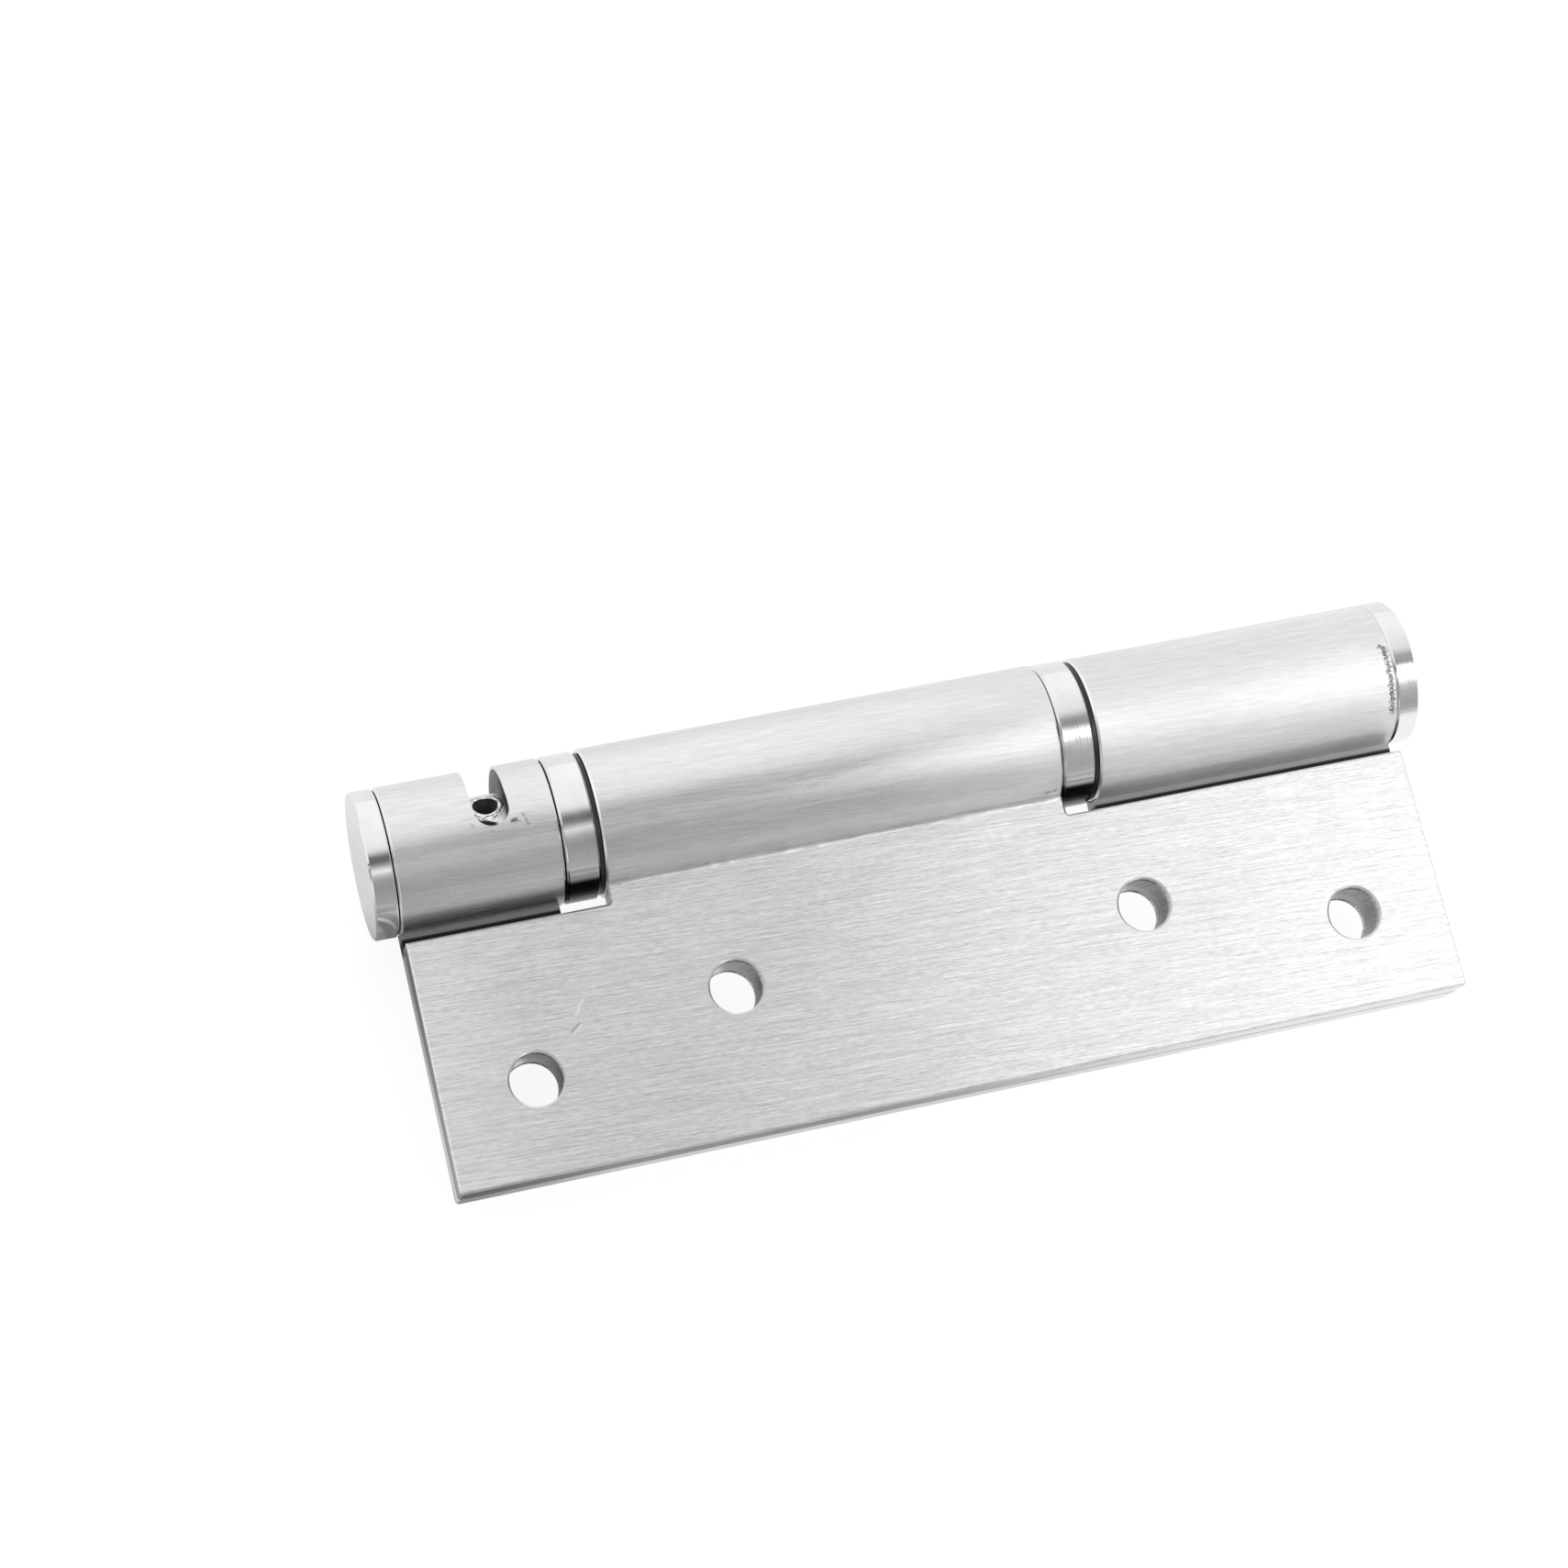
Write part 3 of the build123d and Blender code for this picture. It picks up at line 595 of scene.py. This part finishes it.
def weld_outline(radius, size, fine):
    """Section of a weld, as places (y, z) in millimetres. It fills the crease with a curve from
    the knuckle to the leaf, and its other points are sunk into the two."""
    crease_angle = math.acos(OUTER_Z / radius)
    crease_y = -radius * math.sin(crease_angle)
    corner = Vector((crease_y, OUTER_Z))
    top_angle = crease_angle - size / radius
    top = Vector((-radius * math.sin(top_angle), radius * math.cos(top_angle)))
    foot = Vector((crease_y - size, OUTER_Z))
    outward = ((top - corner).normalized() + (foot - corner).normalized()).normalized()
    outline = [corner * ((radius - 0.12) / radius), top * ((radius - 0.06) / radius)]
    for number in range(CURVE_STEPS + 1):
        share = number / CURVE_STEPS
        point = top * (1 - share) ** 2 + corner * (2 * share * (1 - share)) + foot * share ** 2
        bulge = 0.015 + (0.05 + 0.03 * fine) * math.sin(math.pi * share)
        outline.append(point + outward * bulge)
    outline.append(foot + Vector((0.0, -0.12)))
    return outline


def crease_weld(name, body, start, end, radius, side, seed):
    """Weld in the crease between a knuckle and a leaf's outer face, brushed to a small fillet.
    side is 1 for the door leaf's face and -1 for the frame leaf's."""
    generator = random.Random(seed)
    shift = Vector((generator.uniform(0, 50), generator.uniform(0, 50), 0))
    start += WELD_INSET
    end -= WELD_INSET
    steps = int((end - start) / WELD_STEP)
    sections = []
    bm = bmesh.new()
    for number in range(steps + 1):
        x = start + (end - start) * number / steps
        broad = noise.noise(Vector((x * BROAD_WAVES, 0.0, 0.0)) + shift)
        fine = noise.noise(Vector((x * FINE_WAVES, 3.0, 0.0)) + shift)
        fade = min(1.0, (x - start) / WELD_FADE, (end - x) / WELD_FADE)
        size = (WELD_SIZE + 0.16 * broad + 0.06 * fine) * (0.4 + 0.6 * fade)
        outline = weld_outline(radius, size, fine)
        sections.append([bm.verts.new((x * MM, y * MM, side * z * MM)) for y, z in outline])
    join_sections(bm, sections)
    bm.faces.new(sections[0][::-1])
    bm.faces.new(sections[-1])
    return piece_from(bm, name, weld_steel, body)


crease_weld("door_leaf_weld", "door_side", *MIDDLE_X, MIDDLE_R, 1, 3)
crease_weld("short_tab_weld", "frame_side", SHORT_X[0], SHORT_TAB_END_X, BARREL_R, -1, 5)
crease_weld("long_tab_weld", "frame_side", *LONG_X, BARREL_R, -1, 8)


# Metal raised round the adjuster's holes by the turning rod, low enough to pass under the knuckle.
# Each place in a lip's section is how far out from the hole it is, and its share of the height.
LIP_SECTION = ((0.0, -0.1), (0.02, 0.6), (0.12, 1.0), (0.26, 0.75), (0.42, 0.2), (0.5, -0.6))
LIP_STEPS = 72
LIP_GAP = 0.02
LIP_HEIGHT = 0.025
LIP_WAVES = 2.4


def hole_lip(name, angle, seed):
    """Uneven lip round the hole at this angle, bent to follow the plug's surface."""
    shift = Vector((seed * 7.3, 0.0, 0.0))
    turn = math.radians(angle)
    bm = bmesh.new()
    sections = []
    for number in range(LIP_STEPS):
        round_hole = 2 * math.pi * number / LIP_STEPS
        outward = Vector((math.cos(round_hole), math.sin(round_hole), 0.0))
        bump = noise.noise(outward * LIP_WAVES + shift)
        width = 1.0 + 0.9 * bump
        section = []
        for out, rise in LIP_SECTION:
            reach = HOLE_R + LIP_GAP + out * width
            x = SLOT_X + reach * math.cos(round_hole)
            across = turn + reach * math.sin(round_hole) / PLUG_R
            height = PLUG_R + (LIP_HEIGHT + 0.015 * bump) * rise
            y = height * math.sin(across)
            z = height * math.cos(across)
            section.append(bm.verts.new((x * MM, y * MM, z * MM)))
        sections.append(section)
    join_sections(bm, sections + sections[:1])
    return piece_from(bm, name, adjuster_steel, "adjuster")


for number, angle in enumerate(HOLE_ANGLES):
    if angle != PIN_HOLE_ANGLE:
        hole_lip(f"adjuster_hole_lip_{number}", angle, number)


# Floor. The hinge lies on the outer edge of its frame leaf and on the domed pin, so the floor is
# tilted. Both are places (y, z) in millimetres.
FLOOR_FRONT = Vector((LEAF_FRONT_Y, -3.6))
FLOOR_BACK = Vector((1.5, -11.5))
FLOOR_DROP = 0.08
HALF_FLOOR = 1500.0

# How bright the floor is where the metal mirrors it, as (millimetres, brightness). The first runs
# along the hinge's length. The second is for the floor to the left of the hinge, and runs backwards
# from the leaf's front edge. Well behind the pivot the floor has one brightness.
GLOW_ALONG = ((-70, 0.04), (-61, 0.12), (-52, 0.3), (-42, 0.58), (0, 0.6), (40, 0.8), (70, 0.85))
GLOW_AT_LEFT = ((-20, 0.72), (2, 0.72), (26, 0.16), (33, 0.2), (40, 0.62), (70, 0.62))
GLOW_BEHIND = 0.74
GLOW_TO_CAMERA = 0.88


def floor_paint():
    """White to the camera, with the hinge's shadow on it, and partly shaded where metal mirrors it."""
    material, tree = new_material("floor_white")
    paint = tree.node("ShaderNodeBsdfDiffuse")
    paint.inputs["Color"].default_value = (0.2, 0.2, 0.2, 1.0)
    glow = tree.node("ShaderNodeEmission")
    path = tree.node("ShaderNodeLightPath")
    camera_ray = path.outputs["Is Camera Ray"]
    transmission_ray = path.outputs["Is Transmission Ray"]
    seen = tree.math("ADD", camera_ray, transmission_ray, clamp=True)
    along, back = tree.split(tree.place())[:2]
    beside = tree.stepped(along, GLOW_ALONG, MM)
    at_left = tree.stepped(back, GLOW_AT_LEFT, MM)
    reflected = tree.mix(tree.ramp(along, -64.6 * MM, -63.8 * MM), at_left, beside)
    nearness = tree.ramp(back, -140.0 * MM, -10.0 * MM, 0.5, 1.0)
    reflected = tree.math("MULTIPLY", reflected, nearness)
    reflected = tree.mix(tree.ramp(back, 46.0 * MM, 54.0 * MM), reflected, GLOW_BEHIND)
    tree.put(glow.inputs["Strength"], tree.mix(seen, reflected, GLOW_TO_CAMERA))
    added = tree.node("ShaderNodeAddShader")
    tree.put(added.inputs[0], paint.outputs[0])
    tree.put(added.inputs[1], glow.outputs[0])
    output = tree.node("ShaderNodeOutputMaterial")
    tree.put(output.inputs["Surface"], added.outputs[0])
    return material


def add_floor():
    mesh = bpy.data.meshes.new("floor")
    half = HALF_FLOOR * MM
    corners = [(-half, -half, 0.0), (half, -half, 0.0), (half, half, 0.0), (-half, half, 0.0)]
    mesh.from_pydata(corners, [], [(0, 1, 2, 3)])
    mesh.materials.append(floor_paint())
    floor = bpy.data.objects.new("floor", mesh)
    scene.collection.objects.link(floor)
    rise = FLOOR_BACK - FLOOR_FRONT
    floor.rotation_euler = (math.atan2(rise.y, rise.x), 0.0, 0.0)
    floor.location = (0.0, FLOOR_FRONT.x * MM, (FLOOR_FRONT.y - FLOOR_DROP) * MM)


add_floor()


# Light. The world is a white studio: pale all round and grey towards the front, with a strip light
# in front that is strong on the right. Each row gives (degrees, brightness) by the angle about X,
# which is 0 straight up and grows towards the back. In the photograph's view the hinge's left end
# mirrors the left rows and its right end the right rows.
LEFT_WALL = (
    (-180, 0.6), (-110, 0.5), (-92, 0.5), (-80, 0.44), (-60, 0.38), (-26, 0.28), (-14, 0.2), (-9, 0.13),
    (5, 0.16), (10, 0.45), (14, 0.75), (20, 0.92), (33, 1.0), (60, 1.03), (85, 1.06), (180, 1.0),
)
RIGHT_WALL = (
    (-180, 0.7), (-110, 0.6), (-92, 0.52), (-80, 0.46), (-67, 0.4), (-50, 0.48), (-8, 0.46), (0, 0.38),
    (10, 0.42), (16, 0.65), (23, 0.85), (33, 0.9), (60, 1.03), (180, 1.0),
)
LEFT_STRIP = (
    (-180, 0.0), (-40, 0.0), (-29, 0.1), (-23, 0.3), (-17, 0.76), (-12, 0.5), (-7, 0.2), (-2, 0.0),
    (180, 0.0),
)
RIGHT_STRIP = (
    (-180, 0.0), (-48, 0.0), (-37, 0.6), (-27, 2.6), (-22, 7.2), (-17, 9.0), (-12, 7.8), (-7, 2.4),
    (-2, 0.0), (180, 0.0),
)

# The strip has a gap, which the right cap's rim mirrors in that view
STRIP_GAP = 0.3705


def studio_level(tree):
    """Brightness of the studio by direction, whose parts are right, back and up."""
    right, back, up = tree.split(tree.coordinates.outputs["Generated"])
    lean = tree.ramp(right, 0.16, 0.11, 0.0, 9.0)
    turn = tree.math("ADD", tree.math("DEGREES", tree.math("ARCTAN2", back, up)), lean)
    left_wall = tree.stepped(turn, LEFT_WALL)
    left_facing_sheen = tree.stepped(turn, RIGHT_WALL)
    wall = tree.mix(tree.ramp(right, 0.22, 0.32), left_wall, left_facing_sheen)

    left_strip = tree.stepped(turn, LEFT_STRIP)
    left_strip = tree.math("MULTIPLY", left_strip, tree.ramp(right, 0.15, 0.19, 1.0, 0.5))
    strip = tree.mix(tree.ramp(right, 0.29, 0.34), left_strip, tree.stepped(turn, RIGHT_STRIP))
    from_gap = tree.math("ABSOLUTE", tree.math("SUBTRACT", right, STRIP_GAP))
    gap = tree.ramp(from_gap, 0.007, 0.013, 0.03, 1.0)
    stronger = tree.ramp(right, 0.34, 0.4, 1.0, 1.4)
    right_end = tree.ramp(right, 0.44, 0.6, 1.0, 0.0)
    return tree.total(wall, tree.both(strip, gap, stronger, right_end))


def add_studio():
    world = bpy.data.worlds.new("studio")
    scene.world = world
    world.use_nodes = True
    tree = Tree(world.node_tree)
    background = tree.node("ShaderNodeBackground")
    background.inputs["Color"].default_value = (1.0, 1.0, 1.0, 1.0)
    path = tree.node("ShaderNodeLightPath")
    strength = tree.mix(path.outputs["Is Camera Ray"], studio_level(tree), 1.0)
    tree.put(background.inputs["Strength"], strength)
    output = tree.node("ShaderNodeOutputWorld")
    tree.put(output.inputs["Surface"], background.outputs[0])


add_studio()


# Camera, fitted to the edges, screw holes and barrel in the photograph
CAMERA_RIGHT = Vector((0.95991, -0.22940, 0.16108))
CAMERA_UP = Vector((0.18195, 0.94707, 0.26449))
CAMERA_BACK = Vector((-0.21322, -0.22458, 0.95084))
CAMERA_PLACE = Vector((-0.112996, -0.104246, 0.442837))


def add_camera():
    camera_data = bpy.data.cameras.new("camera")
    camera_data.sensor_width = 36.0
    camera_data.lens = 87.336
    camera_data.clip_start = 0.01
    camera_data.clip_end = 20.0
    camera = bpy.data.objects.new("camera", camera_data)
    scene.collection.objects.link(camera)
    placed = Matrix((CAMERA_RIGHT, CAMERA_UP, CAMERA_BACK)).transposed().to_4x4()
    placed.translation = CAMERA_PLACE
    camera.matrix_world = placed
    scene.camera = camera


add_camera()
scene.view_settings.view_transform = "Standard"
